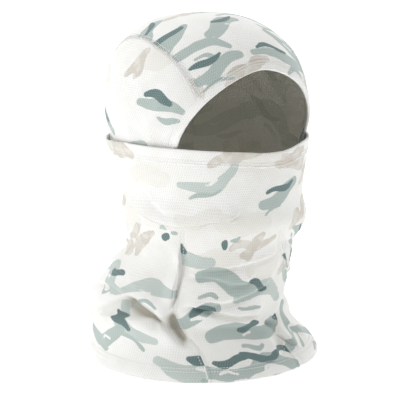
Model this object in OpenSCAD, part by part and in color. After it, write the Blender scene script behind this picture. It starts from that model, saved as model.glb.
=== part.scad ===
// Stretch-knit balaclava: an open-face hood under a full-round neck tube,
// whose upper part is a face mask that slides down off the nose.
// +Z is up, the face looks along -Y, and the bottom hem stands on Z = 0.

/* [Overall size] */
// Height from the bottom hem to the top of the crown
total_h = 320; // [316:0.5:324]
// Half width of the hood at its widest
head_w = 92.5; // [92:0.5:95]
// Half depth of the hood at its widest
head_d = 100; // [99:0.5:103]
// Half width of the bottom hem
hem_w = 112; // [110:0.5:116]
// Half depth of the bottom hem
hem_d = 108; // [106:0.5:112]
// Half width of the neck tube at its narrowest
neck_w = 74; // [73:0.5:74.5]
// Half depth of the neck tube at its narrowest
neck_d = 84; // [83:0.5:84.5]

/* [Cloth] */
// Thickness of one knitted panel
cloth_t = 1.2; // [1:0.1:1.3]
// Thickness of a folded hem, two layers and the channel between them
fold_t = 2.4; // [2.2:0.1:2.6]
// Clear gap from the hood to the tube around it
layer_gap = 1.5; // [1.4:0.1:1.6]
// Gap between the cut edges of two panels that a seam joins
seam_gap = 0.3; // [0.2:0.1:0.4]
// Radius of a sewing thread
thread_r = 0.3; // [0.25:0.05:0.35]

/* [Face opening] */
// Height of the lower edge of the opening, under the chin
open_low = 107; // [105:1:109]
// Height of the upper edge of the opening, at the brow
open_high = 278; // [274:1:280]
// Angle from the middle of the face to the side of the opening
open_deg = 56; // [53:1:58]
// Width of the folded hem around the opening
open_hem_w = 11; // [10:0.5:12]

/* [Mask] */
// Mean height of the mask's top edge
mask_top = 206.6; // [205:0.2:208]
// Rise of the mask's edge from the nose to the cheeks
mask_wave = 3.3; // [2:0.1:4]
// Height of the mask hem
mask_hem_h = 14; // [12:0.5:15]
// Height of the fold below the jaw, where the mask ends
jaw_z = 135; // [134:0.5:136]

/* [Neck tube] */
// Angle of the seam on the wearer's right at the bottom hem, from the middle of the front
seam_right_low = -31; // [-35:1:-28]
// Angle of the seam on the wearer's right at the jaw
seam_right_high = -59; // [-62:1:-54]
// Angle of the seam on the wearer's left at the bottom hem
seam_left_low = 20; // [16:1:24]
// Angle of the seam on the wearer's left where the tube starts to flare
seam_left_mid = 37; // [33:1:40]
// Angle of the seam on the wearer's left at the jaw
seam_left_high = 8; // [5:1:15]
// Height of the bottom hem
bottom_hem_h = 14; // [12:0.5:16]
// Height at which the hood ends inside the tube
hood_end = 84; // [83:0.5:86]

/* [Hidden] */

// One layer of a folded hem, the elastic in its channel, and the clear space round that.
layer_t = 0.7;
elastic_w = 6;
elastic_clear = 0.3;
elastic_in = 1.6;
fold_in = 1;
// Two stitch rows: how far apart, how far from a hem's edge, and how far off the cloth.
row_step = 2.6;
row_in = 1.2;
thread_lift = 0.42;
seam_lift = 0.55;
// Half the diagonal of a thread's square section.
thread_corner = 1.2 * thread_r;
// Angle from a neck seam to the stitches beside it.
beside_deg = 1.7;

snow = [0.93, 0.93, 0.91];
frost = [0.86, 0.89, 0.88];
thread_white = [0.97, 0.97, 0.95];
elastic_grey = [0.75, 0.76, 0.75];

// Stations along Z: height, half width, half depth, sideways drift, drift to the back.
neck_rows = [
    [0, hem_w, hem_d, 0, 0],
    [6, hem_w - 3, hem_d - 2, 0, 0],
    [15, hem_w - 8, hem_d - 6, -3, 3.5],
    [31, neck_w + 22, neck_d + 11, -8, 8],
    [47, neck_w + 16, neck_d + 7, -11.5, 11],
    [63, neck_w + 14, neck_d + 8, -9, 9],
    [78.5, neck_w + 9, neck_d + 6, -4.5, 4.5],
    [94, neck_w + 2, neck_d + 1.5, 1, -3],
    [102, neck_w, neck_d, 3, -5.5],
    [117.5, neck_w + 1.5, neck_d + 2, 2.5, -5.5],
    [jaw_z + 2, neck_w + 2, neck_d + 2.5, 2.5, -5.5]];
mask_rows = [
    [jaw_z, neck_w + 10.5, neck_d + 8, 7.5, -6.5],
    [142, neck_w + 9.3, neck_d + 7.3, 6.3, -6.5],
    [156, neck_w + 6, neck_d + 7.5, 3.5, -7.5],
    [171.5, neck_w + 10, neck_d + 10.5, 3, -4],
    [187, neck_w + 13.5, neck_d + 11.8, 2, -2.5],
    [198, neck_w + 14.7, neck_d + 12.6, 2, -2.5]];
mask_hem_rows = [
    [186, head_w, head_d + 0.3, 2, -2.5],
    [212, head_w + 0.7, head_d + 0.6, 2, -2.5]];
under = cloth_t + layer_gap;
dome_z = 225;
hood_rows = [
    [hood_end, neck_w + 6.5 - under, neck_d + 4.5 - under, -2.5, 1.8],
    [94, neck_w + 2 - under, neck_d + 1.5 - under, 1, -3],
    [102, neck_w - under, neck_d - under, 3, -5.5],
    [117.5, neck_w + 1.5 - under, neck_d + 2 - under, 2.5, -5.5],
    [138, neck_w + 2.2 - under, neck_d + 2.7 - under, 2.5, -5.5],
    [156, neck_w + 5.9 - under, neck_d + 7.2 - under, 3.5, -7],
    [171.5, neck_w + 9.9 - under, neck_d + 10.2 - under, 3, -4],
    [187, neck_w + 12.9 - under, neck_d + 11.2 - under, 2, -2.5],
    [207, head_w - 5, head_d - 5, 2, -2.3],
    [dome_z, head_w, head_d, 2, -1],
    [240, head_w, head_d, 2, -1]];
dome_h = total_h - dome_z;
dome_power = 2.5;
dome_drift = 6;
// Middle of the head, from which the crown is laid out.
hub_z = 200;
hub = [2, -2, hub_z];
// Facets round a ring, and rows and columns of the panels.
ring_n = 56;
open_ring_n = 112;
hem_ring_n = 64;
side_rows = 12;
rim_n = 16;
crown_cols = 12;
neck_steps = 14;
front_cols = 12;
back_cols = 36;
mask_steps = 8;

// Column c of a table of stations, eased over a few millimetres either side.
function col(rows, c) = [for (r = rows) [r[0], r[c]]];
function eased(t, z) = (lookup(z - 5, t) + 2 * lookup(z, t) + lookup(z + 5, t)) / 4;
function columns(rows) = [for (c = [1:4]) col(rows, c)];
neck_cols = columns(neck_rows);
mask_cols = columns(mask_rows);
mask_hem_cols = columns(mask_hem_rows);
hood_cols = columns(hood_rows);
function section(cols, z) = [for (c = cols) eased(c, z)];

// Point of a tube's surface at angle th from the front, t outside its outer face.
function tube_pt(cols, th, z, t) = let (s = section(cols, z))
    [s[2] + (s[0] + t) * sin(th), s[3] - (s[1] + t) * cos(th), z];

// The hood is the tube of hood_rows up to dome_z, and a rounded dome above it.
function dome_y(z) = dome_drift * max(0, z - dome_z) / dome_h;
function dome_ring(z, t) = pow(max(0, 1 - pow(min(1, max(0, z - dome_z) / (dome_h + t)), dome_power)), 1 / dome_power);
function hood_pt(th, z, t) = let (s = section(hood_cols, z), k = dome_ring(z, t))
    [s[2] + (s[0] + t) * k * sin(th), s[3] + dome_y(z) - (s[1] + t) * k * cos(th), z];
function hood_level(p, t) = let (
    s = section(hood_cols, p[2]),
    r = norm([(p[0] - s[2]) / (s[0] + t), (p[1] - s[3] - dome_y(p[2])) / (s[1] + t)]),
    h = max(0, p[2] - dome_z) / (dome_h + t))
    pow(r, dome_power) + pow(h, dome_power) - 1;
// Where a ray from the hub meets the hood, found by halving the span that holds it.
function cast(d, t, lo = 20, hi = 170, n = 22) = n == 0 ? hub + d * (lo + hi) / 2 :
    let (m = (lo + hi) / 2)
    hood_level(hub + d * m, t) > 0 ? cast(d, t, lo, m, n - 1) : cast(d, t, m, hi, n - 1);
// Moves a point onto the hood: outward from the hub above it, level below it.
function on_hood(g, t) = g[2] >= hub_z ? cast((g - hub) / norm(g - hub), t) :
    let (s = section(hood_cols, g[2]),
         k = 1 / norm([(g[0] - s[2]) / (s[0] + t), (g[1] - s[3]) / (s[1] + t)]))
    [s[2] + (g[0] - s[2]) * k, s[3] + (g[1] - s[3]) * k, g[2]];

// Oval edge of the face opening, grown by w on the cloth; v runs round it from the brow.
open_power = 1.76;
// Height that a millimetre of cloth covers above the opening, where the hood leans back.
brow_rise = 0.72;
function spow(x, p) = sign(x) * pow(abs(x), p);
function open_edge(v, w, t) = let (
    mid = (open_low + open_high) / 2,
    half = (open_high - open_low) / 2,
    up = cos(v) > 0 ? brow_rise : 1,
    th = (open_deg + w / head_w * 180 / PI) * spow(sin(v), 2 / open_power),
    z = mid + (half + w * up) * spow(cos(v), 2 / open_power))
    hood_pt(th, z, t);
function between(a, b, share) = a + (b - a) * share;
// Point of the opening's hem, w from its inner edge, on the flat band between its two edges.
function open_band(v, w, t) = between(open_edge(v, 0, t), open_edge(v, open_hem_w, t), w / open_hem_w);

// Half width of the crown strip, as a share of its reach from the hub.
crown_share = [[30, 0.655], [76, 0.70], [118, 0.56], [180, 0.50]];
nape_share = [[hood_end, 0.42], [hub_z, 0.50]];
crown_v = 44;
// How fast the strip leaves the brow's outline for its own, in shares of the way to the back.
brow_rate = 3;
crown_rows = 18;
nape_rows = 9;
crown_all = crown_rows + nape_rows;
// Point of the crown strip: i counts rows from the brow to the nape, u runs from -1 to 1 across.
function brow_pt(u, t) = open_edge(u * crown_v, open_hem_w + seam_gap, t);
function crown_dir(i, u) = let (
    e = brow_pt(u, 0) - hub,
    k = i / crown_rows,
    a = atan2(e[2], -e[1]) * (1 - k) + 180 * k,
    own = min(1, brow_rate * k),
    share = e[0] / norm([e[1], e[2]]) * (1 - own) + u * lookup(a, crown_share) * own)
    [share, -cos(a), sin(a)];
function crown_pt(i, u, t) = i <= 0 ? brow_pt(u, t) :
    i <= crown_rows ? let (d = crown_dir(i, u)) cast(d / norm(d), t) :
    let (z = hub_z + (hood_end - hub_z) * (i - crown_rows) / nape_rows, s = section(hood_cols, z),
         d = [u * lookup(z, nape_share), 1] * neck_w)
    on_hood([s[2] + d[0], s[3] + d[1], min(z, hub_z - 0.01)], t);
function beside(i, off) = 1 + off / norm(crown_pt(i, 1, 0) - crown_pt(i, -1, 0)) * 2;

// Closed solids from grids of points. A patch has an outer and an inner skin.
function flat(g) = [for (r = g) for (p = r) p];
function quad(a, b, c, d) = [[a, b, c], [a, c, d]];
function turned(f, yes) = yes ? [for (t = f) [t[2], t[1], t[0]]] : f;
module patch(skin, lining, wrap = false, flip = false) {
    nr = len(skin);
    nc = len(skin[0]);
    last = wrap ? nc - 1 : nc - 2;
    low = nr * nc;
    function o(i, j) = i * nc + j % nc;
    faces = concat(
        [for (i = [0:nr - 2]) for (j = [0:last]) each quad(o(i, j), o(i + 1, j), o(i + 1, j + 1), o(i, j + 1))],
        [for (i = [0:nr - 2]) for (j = [0:last])
            each quad(low + o(i, j), low + o(i, j + 1), low + o(i + 1, j + 1), low + o(i + 1, j))],
        [for (j = [0:last]) each quad(o(0, j), o(0, j + 1), low + o(0, j + 1), low + o(0, j))],
        [for (j = [0:last])
            each quad(o(nr - 1, j + 1), o(nr - 1, j), low + o(nr - 1, j), low + o(nr - 1, j + 1))],
        wrap ? [] : [for (i = [0:nr - 2]) each quad(o(i + 1, 0), o(i, 0), low + o(i, 0), low + o(i + 1, 0))],
        wrap ? [] : [for (i = [0:nr - 2])
            each quad(o(i, nc - 1), o(i + 1, nc - 1), low + o(i + 1, nc - 1), low + o(i, nc - 1))]);
    polyhedron(concat(flat(skin), flat(lining)), turned(faces, flip));
}
// A bar lofted through equal closed sections, as a ring or with two flat ends.
module loft(sections, ring = true, flip = false) {
    n = len(sections);
    m = len(sections[0]);
    last = ring ? n - 1 : n - 2;
    function o(i, j) = (i % n) * m + j % m;
    faces = concat(
        [for (i = [0:last]) for (j = [0:m - 1]) each quad(o(i, j), o(i, j + 1), o(i + 1, j + 1), o(i + 1, j))],
        ring ? [] : [for (j = [1:m - 2]) [o(0, 0), o(0, j + 1), o(0, j)]],
        ring ? [] : [for (j = [1:m - 2]) [o(n - 1, 0), o(n - 1, j), o(n - 1, j + 1)]]);
    polyhedron(flat(sections), turned(faces, flip));
}
// A sewing thread: a slim square bar along a path, set square to the cloth it lies on.
function unit(v) = v / norm(v);
module thread(path, ring = false) {
    n = len(path);
    sections = [for (i = [0:n - 1]) let (
        a = path[ring ? (i + n - 1) % n : max(0, i - 1)],
        b = path[ring ? (i + 1) % n : min(n - 1, i + 1)],
        along = unit(b - a),
        out = unit([path[i][0], path[i][1], max(0, path[i][2] - hub_z)]),
        side = unit(cross(along, out)),
        up = cross(side, along))
        [for (c = [[1, 0], [0, 1], [-1, 0], [0, -1]]) path[i] + thread_corner * (c[0] * side + c[1] * up)]];
    loft(sections, ring, true);
}

// Hood
module crown_panel() {
    function skin(t) = [for (i = [0:crown_all]) [for (j = [0:crown_cols])
        crown_pt(i, (2 * j / crown_cols - 1) * beside(i, -seam_gap / 2), t)]];
    color(snow) patch(skin(0), skin(-cloth_t), flip = true);
}
// Upper edge of a side panel, from the chin round the opening and along the crown seam to the nape.
function side_top(s, t) = concat(
    [for (k = [0:rim_n]) open_edge(s * between(180 - 0.1, crown_v + 0.2, k / rim_n), open_hem_w + seam_gap, t)],
    [for (i = [1:crown_all - 1]) crown_pt(i, s * beside(i, seam_gap / 2), t)]);
function hood_angle(p) = let (s = section(hood_cols, p[2]))
    atan2((p[0] - s[2]) / s[0], -(p[1] - s[3] - dome_y(p[2])) / s[1]);
// Share of the way round the lower edge for each point of the upper edge, and the rows between them.
side_n = rim_n + crown_all - 1;
low_share = [[0, 0], [5, 0.3], [10, 0.52], [14, 0.65], [rim_n, 0.7], [side_n - 6, 0.96], [side_n, 1]];
side_crowding = 1.6;
function side_share(k) = pow(k / side_rows, side_crowding);
module side_panel(s) {
    top = side_top(s, 0);
    nape_deg = hood_angle(crown_pt(crown_all, s * beside(crown_all, seam_gap / 2), 0));
    chin_deg = s * seam_gap / 2 / neck_d * 180 / PI;
    function middle(j, k, t) = let (m = side_share(k), low = between(chin_deg, nape_deg, lookup(j, low_share)))
        on_hood(hood_pt(between(low, hood_angle(top[j]), m), between(hood_end, top[j][2], m), 0), t);
    function rows(t) = [for (k = [0:side_rows - 1]) [for (j = [0:side_n]) middle(j, k, t)]];
    color(snow) patch(concat(rows(0), [top]), concat(rows(-cloth_t), [side_top(s, -cloth_t)]), flip = s < 0);
}
module side_panel_right() { side_panel(-1); }
module side_panel_left() { side_panel(1); }

// A folded hem's section as [in from its fold edge, out from its face]: two layers, joined at
// the fold, with a channel between them, and the elastic in that channel.
inner_t = layer_t - fold_t;
function fold_section(w) = [[0, 0], [w, 0], [w, -layer_t], [fold_in, -layer_t],
    [fold_in, inner_t], [w, inner_t], [w, -fold_t], [0, -fold_t]];
elastic_section = [[elastic_in, -layer_t - elastic_clear], [elastic_in + elastic_w, -layer_t - elastic_clear],
    [elastic_in + elastic_w, inner_t + elastic_clear], [elastic_in, inner_t + elastic_clear]];
function turns(n) = [for (i = [0:n - 1]) 360 * i / n];

module face_hem() {
    color(frost) loft([for (v = turns(open_ring_n)) [for (c = fold_section(open_hem_w)) open_band(v, c[0], c[1])]]);
}
module face_elastic() {
    color(elastic_grey) loft([for (v = turns(open_ring_n)) [for (c = elastic_section) open_band(v, c[0], c[1])]]);
}
// The rows stop short of the seam that joins the hood to the tube.
module crown_seam_thread(s) {
    for (side = [-1, 1]) thread([for (i = [0:crown_all - 2])
        crown_pt(i, s * beside(i, side * row_step), seam_lift)]);
}
module crown_seam_thread_right() { color(thread_white) crown_seam_thread(-1); }
module crown_seam_thread_left() { color(thread_white) crown_seam_thread(1); }
module chin_seam_thread() {
    color(thread_white) for (side = [-1, 1])
        thread([for (z = [hood_end + 6.5 : open_low - open_hem_w - 1]) hood_pt(side * beside_deg, z, thread_lift)]);
}
module face_hem_thread() {
    color(thread_white) for (w = [open_hem_w - row_in - row_step, open_hem_w - row_in])
        thread([for (v = turns(open_ring_n)) open_band(v, w, thread_lift)], true);
}

// Neck tube
neck_low = bottom_hem_h + seam_gap;
neck_high = jaw_z + 2;
neck_levels = [for (k = [0:neck_steps]) between(neck_low, neck_high, k / neck_steps)];
// Angle of each seam at each height.
seam_right = [[0, seam_right_low], [28, seam_right_low - 1], [60, seam_right_low - 14],
    [101, seam_right_high + 2], [neck_high, seam_right_high]];
seam_left = [[0, seam_left_low], [33, seam_left_low], [65, seam_left_mid],
    [99, seam_left_mid - 13], [neck_high, seam_left_high]];
half_gap_deg = seam_gap / 2 / neck_w * 180 / PI;
// A panel from one seam to the other, n columns wide.
module neck_panel(from, to, turn, n) {
    function skin(t) = [for (z = neck_levels) let (
        a = lookup(z, from) + half_gap_deg, b = lookup(z, to) + turn - half_gap_deg)
        [for (j = [0:n]) tube_pt(neck_cols, between(a, b, j / n), z, t)]];
    color(snow) patch(skin(0), skin(-cloth_t));
}
module neck_front_panel() { neck_panel(seam_right, seam_left, 0, front_cols); }
module neck_back_panel() { neck_panel(seam_left, seam_right, 360, back_cols); }
module neck_seam_thread(seam) {
    color(thread_white) for (side = [-1, 1]) thread([for (z = neck_levels)
        tube_pt(neck_cols, lookup(z, seam) + side * beside_deg, z, seam_lift)]);
}
module neck_seam_thread_right() { neck_seam_thread(seam_right); }
module neck_seam_thread_left() { neck_seam_thread(seam_left); }
module collar_seam_thread() {
    color(thread_white) thread([for (th = turns(ring_n)) hood_pt(th, hood_end + 3, layer_gap / 2)], true);
}
function low_band(th, up, t) = between(tube_pt(neck_cols, th, 0, t),
    tube_pt(neck_cols, th, bottom_hem_h, t), up / bottom_hem_h);
module bottom_hem() {
    color(frost) loft([for (th = turns(hem_ring_n))
        [for (c = fold_section(bottom_hem_h)) low_band(th, c[0], c[1])]], flip = true);
}
module bottom_hem_thread() {
    color(thread_white) for (d = [row_in, row_in + row_step])
        thread([for (th = turns(hem_ring_n)) low_band(th, bottom_hem_h - d, thread_lift)], true);
}

// Mask
function mask_edge(th) = mask_top - mask_wave * cos(2 * th);
function mask_level(th, share) = between(jaw_z, mask_edge(th) - mask_hem_h - seam_gap, share);
function mask_hem_pt(th, down, t) = tube_pt(mask_hem_cols, th, mask_edge(th) - down, t);
module mask_panel() {
    function skin(t) = [for (k = [0:mask_steps]) [for (th = turns(ring_n))
        tube_pt(mask_cols, th, mask_level(th, k / mask_steps), t)]];
    color(snow) patch(skin(0), skin(-cloth_t), true);
}
module mask_back_seam_thread() {
    color(thread_white) for (side = [-1, 1]) thread([for (k = [0:mask_steps])
        let (th = 180 + side * beside_deg) tube_pt(mask_cols, th, mask_level(th, k / mask_steps), thread_lift)]);
}
module mask_hem() {
    color(frost) loft([for (th = turns(ring_n)) [for (c = fold_section(mask_hem_h)) mask_hem_pt(th, c[0], c[1])]]);
}
module mask_elastic() {
    color(elastic_grey) loft([for (th = turns(ring_n)) [for (c = elastic_section) mask_hem_pt(th, c[0], c[1])]]);
}
module mask_hem_thread() {
    color(thread_white) for (d = [mask_hem_h - row_in - row_step, mask_hem_h - row_in])
        thread([for (th = turns(ring_n)) mask_hem_pt(th, d, thread_lift)], true);
}

crown_panel();
side_panel_right();
side_panel_left();
face_hem();
face_elastic();
crown_seam_thread_right();
crown_seam_thread_left();
chin_seam_thread();
face_hem_thread();
neck_front_panel();
neck_back_panel();
neck_seam_thread_right();
neck_seam_thread_left();
collar_seam_thread();
bottom_hem();
bottom_hem_thread();
mask_panel();
mask_back_seam_thread();
mask_hem();
mask_elastic();
mask_hem_thread();
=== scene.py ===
"""Looks of a stretch-knit balaclava whose face mask slides down off the nose.

Lengths are in millimetres until a mesh is made. +Z is up and the face looks along -Y. Angles
round the head are in degrees from the middle of the face, growing to the wearer's left.
"""

import math
import random

import bpy
import numpy as np
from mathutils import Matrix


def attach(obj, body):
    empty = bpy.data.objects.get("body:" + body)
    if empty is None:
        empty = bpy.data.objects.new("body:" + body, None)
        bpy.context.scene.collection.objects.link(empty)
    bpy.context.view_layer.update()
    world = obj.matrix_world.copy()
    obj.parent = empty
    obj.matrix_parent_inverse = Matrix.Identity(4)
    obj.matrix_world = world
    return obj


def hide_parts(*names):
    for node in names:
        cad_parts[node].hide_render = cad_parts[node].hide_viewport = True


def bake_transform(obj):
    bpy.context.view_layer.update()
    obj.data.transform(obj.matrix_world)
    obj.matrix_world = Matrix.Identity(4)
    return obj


MM = 0.001
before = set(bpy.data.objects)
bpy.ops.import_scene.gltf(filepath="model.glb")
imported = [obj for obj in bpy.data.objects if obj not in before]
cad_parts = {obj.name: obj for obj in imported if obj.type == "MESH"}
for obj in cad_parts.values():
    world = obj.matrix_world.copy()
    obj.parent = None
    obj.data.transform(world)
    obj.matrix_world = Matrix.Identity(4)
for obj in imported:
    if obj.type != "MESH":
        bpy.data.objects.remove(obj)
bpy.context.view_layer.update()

# ---------------------------------------------------------------- surfaces
# Stations: height, half width, half depth, sideways drift, drift to the back.
TUBE = np.array([
    [0, 111.4, 107.3, 0, 0], [6, 109, 105.6, 0, 0], [15, 104, 102, -3, 3.5], [31, 96, 95, -8, 8],
    [47, 90, 91, -11.5, 11], [63, 88, 92, -9, 9], [78.5, 83, 90, -4.5, 4.5], [94, 76, 85.5, 1, -3],
    [102, 74, 84, 3, -5.5], [117.5, 75.5, 86, 2.5, -5.5], [133, 81, 91, 6, -8], [141, 82.5, 92.5, 6, -8.5],
    [156, 79.5, 91.5, 3.5, -8.5], [171.5, 84, 95, 3, -5], [187, 89, 97.5, 2, -3],
    [202, 92.5, 100.5, 2, -0.8], [212, 93.5, 101, 2, -0.8]], float)
HOOD = np.array([
    [90, 72.8, 82.4, 1, -3], [102, 71, 81, 3, -5.5], [117.5, 72.5, 83, 2.5, -5.5],
    [138, 75.5, 86.5, 3.5, -6.5],
    [156, 76.5, 88.5, 3.5, -7], [171.5, 81, 91.5, 3, -4], [187, 86, 94.3, 2, -2.5],
    [207, 88.7, 97, 2, -1.8], [225, 92.5, 100.5, 2, -1.5], [240, 92.5, 100.5, 2, -1.5]], float)
DOME_Z, DOME_H, DOME_POWER, DOME_DRIFT = 225.0, 95.0, 2.5, 6.0
HUB = np.array([2.0, -2.0, 200.0])
HOOD_END = 90.0
JAW_Z = 133.0
LOW_HEM = 14.0
MASK_HEM = 14.0
OPEN_HEM = 11.0
CLOTH = 1.1
HEAD_HALF = 92.5  # half width of the hood at its widest

# Height of the mask's top edge at each angle.
EDGE = np.array([[-180, 204], [-125, 204], [-87, 210], [-51, 210.5], [-35, 209.5], [-18, 208], [-3, 205.5],
                 [10, 205], [30, 209], [60, 210], [90, 209], [140, 204.5], [180, 204]], float)
# Angle of each neck seam at each height.
SEAM_RIGHT = np.array([[0, -31], [28, -32], [40, -38], [60, -45], [71, -47], [101, -57], [137, -59]], float)
SEAM_LEFT = np.array([[0, 20], [33, 20], [39, 27], [65, 37], [99, 24], [131, 10], [139, 8]], float)


def table(rows, x):
    return np.interp(x, rows[:, 0], rows[:, 1])


def eased(rows, z, step=4.0):
    """Columns of a table of stations at height z, eased over a few millimetres."""
    z = np.asarray(z, float)
    cols = []
    for c in range(1, rows.shape[1]):
        at = [np.interp(z + d, rows[:, 0], rows[:, c]) for d in (-step, 0, step)]
        cols.append((at[0] + 2 * at[1] + at[2]) / 4)
    return cols


def wrapped(phi):
    return (np.asarray(phi, float) + 180) % 360 - 180


def tube(phi, z, t=0.0):
    a, b, cx, cy = eased(TUBE, z)
    r = np.radians(phi)
    z = np.asarray(z, float) + 0 * r
    return np.stack([cx + (a + t) * np.sin(r), cy - (b + t) * np.cos(r), z], -1)


def hood_section(z):
    a, b, cx, cy = eased(HOOD, z, 5)
    return a, b, cx, cy + DOME_DRIFT * np.maximum(0, np.asarray(z) - DOME_Z) / DOME_H


def hood(phi, z, t=0.0):
    a, b, cx, cy = hood_section(z)
    h = np.clip((np.asarray(z) - DOME_Z) / (DOME_H + t), 0, 1)
    k = (1 - h ** DOME_POWER) ** (1 / DOME_POWER)
    r = np.radians(phi)
    return np.stack([cx + (a + t) * k * np.sin(r), cy - (b + t) * k * np.cos(r), z + 0 * r], -1)


def hood_level(p, t):
    a, b, cx, cy = hood_section(p[..., 2])
    h = np.maximum(0, p[..., 2] - DOME_Z) / (DOME_H + t)
    r = np.hypot((p[..., 0] - cx) / (a + t), (p[..., 1] - cy) / (b + t))
    return r ** DOME_POWER + h ** DOME_POWER - 1


def cast(d, t=0.0):
    """Where rays from the hub meet the hood."""
    d = d / np.linalg.norm(d, axis=-1, keepdims=True)
    lo, hi = np.full(d.shape[:-1], 20.0), np.full(d.shape[:-1], 190.0)
    for _ in range(24):
        mid = (lo + hi) / 2
        out = hood_level(HUB + d * mid[..., None], t) > 0
        hi, lo = np.where(out, mid, hi), np.where(out, lo, mid)
    return HUB + d * lo[..., None]


def on_hood(g, t=0.0):
    """Moves points onto the hood: outward from the hub above it, level below it."""
    a, b, cx, cy = hood_section(g[..., 2])
    k = 1 / np.maximum(1e-6, np.hypot((g[..., 0] - cx) / (a + t), (g[..., 1] - cy) / (b + t)))
    level = np.stack([cx + (g[..., 0] - cx) * k, cy + (g[..., 1] - cy) * k, g[..., 2]], -1)
    d = g - HUB
    d[..., 2] = np.maximum(d[..., 2], 0)
    return np.where((g[..., 2] > HUB[2])[..., None], cast(d, t), level)


def crown_at(sag, lat):
    """Point of the hood at an angle up from the front, seen from the side, and a distance across."""
    sag, lat = np.radians(np.asarray(sag, float)), np.asarray(lat, float)
    d = np.stack([0 * sag, -np.cos(sag), np.sin(sag)], -1)
    start = HUB + np.stack([lat, 0 * lat, 0 * lat], -1)
    lo, hi = np.zeros(sag.shape), np.full(sag.shape, 190.0)
    for _ in range(24):
        mid = (lo + hi) / 2
        out = hood_level(start + d * mid[..., None], 0) > 0
        hi, lo = np.where(out, mid, hi), np.where(out, lo, mid)
    return start + d * lo[..., None]


# Face opening: an oval, drawn round by v from the brow.
OPEN_LOW, OPEN_HIGH, OPEN_DEG, OPEN_POWER = 107.0, 278.0, 56.0, 1.76


def spow(x, p):
    return np.sign(x) * np.abs(x) ** p


def open_flat(v, w):
    """Angle and height of the opening's edge, grown by w on the cloth."""
    s, c = np.sin(np.radians(v)), np.cos(np.radians(v))
    up = np.where(c > 0, 0.72, 1.0)
    phi = (OPEN_DEG + w / HEAD_HALF * 180 / math.pi) * spow(s, 2 / OPEN_POWER)
    half = (OPEN_HIGH - OPEN_LOW) / 2
    return phi, (OPEN_LOW + OPEN_HIGH) / 2 + (half + w * up) * spow(c, 2 / OPEN_POWER)


def open_edge(v, w, t=0.0):
    phi, z = open_flat(v, w)
    return hood(phi, z, t)


# ---------------------------------------------------------------- folds
ARC = 1.6  # millimetres of cloth for each degree round the tube


def line_field(phi, z, points):
    """Distance to a line on the unrolled tube, side of it, and share of the way along it."""
    pts = np.array(points, float) * [ARC, 1]
    mid = pts[:, 0].mean() / ARC
    x = ((phi - mid + 180) % 360 - 180 + mid) * ARC
    best = np.full(x.shape, 1e9)
    side = np.ones(x.shape)
    way = np.zeros(x.shape)
    lengths = np.linalg.norm(np.diff(pts, axis=0), axis=1)
    done = 0.0
    for p, q, n in zip(pts[:-1], pts[1:], lengths):
        dx, dz = (q - p) / n
        along = np.clip((x - p[0]) * dx + (z - p[1]) * dz, 0, n)
        ex, ez = x - p[0] - along * dx, z - p[1] - along * dz
        dist = np.hypot(ex, ez)
        near = dist < best
        best = np.where(near, dist, best)
        side = np.where(near, np.sign(dx * ez - dz * ex + 1e-9), side)
        way = np.where(near, done + along, way)
        done += n
    return best, side, way, done


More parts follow.
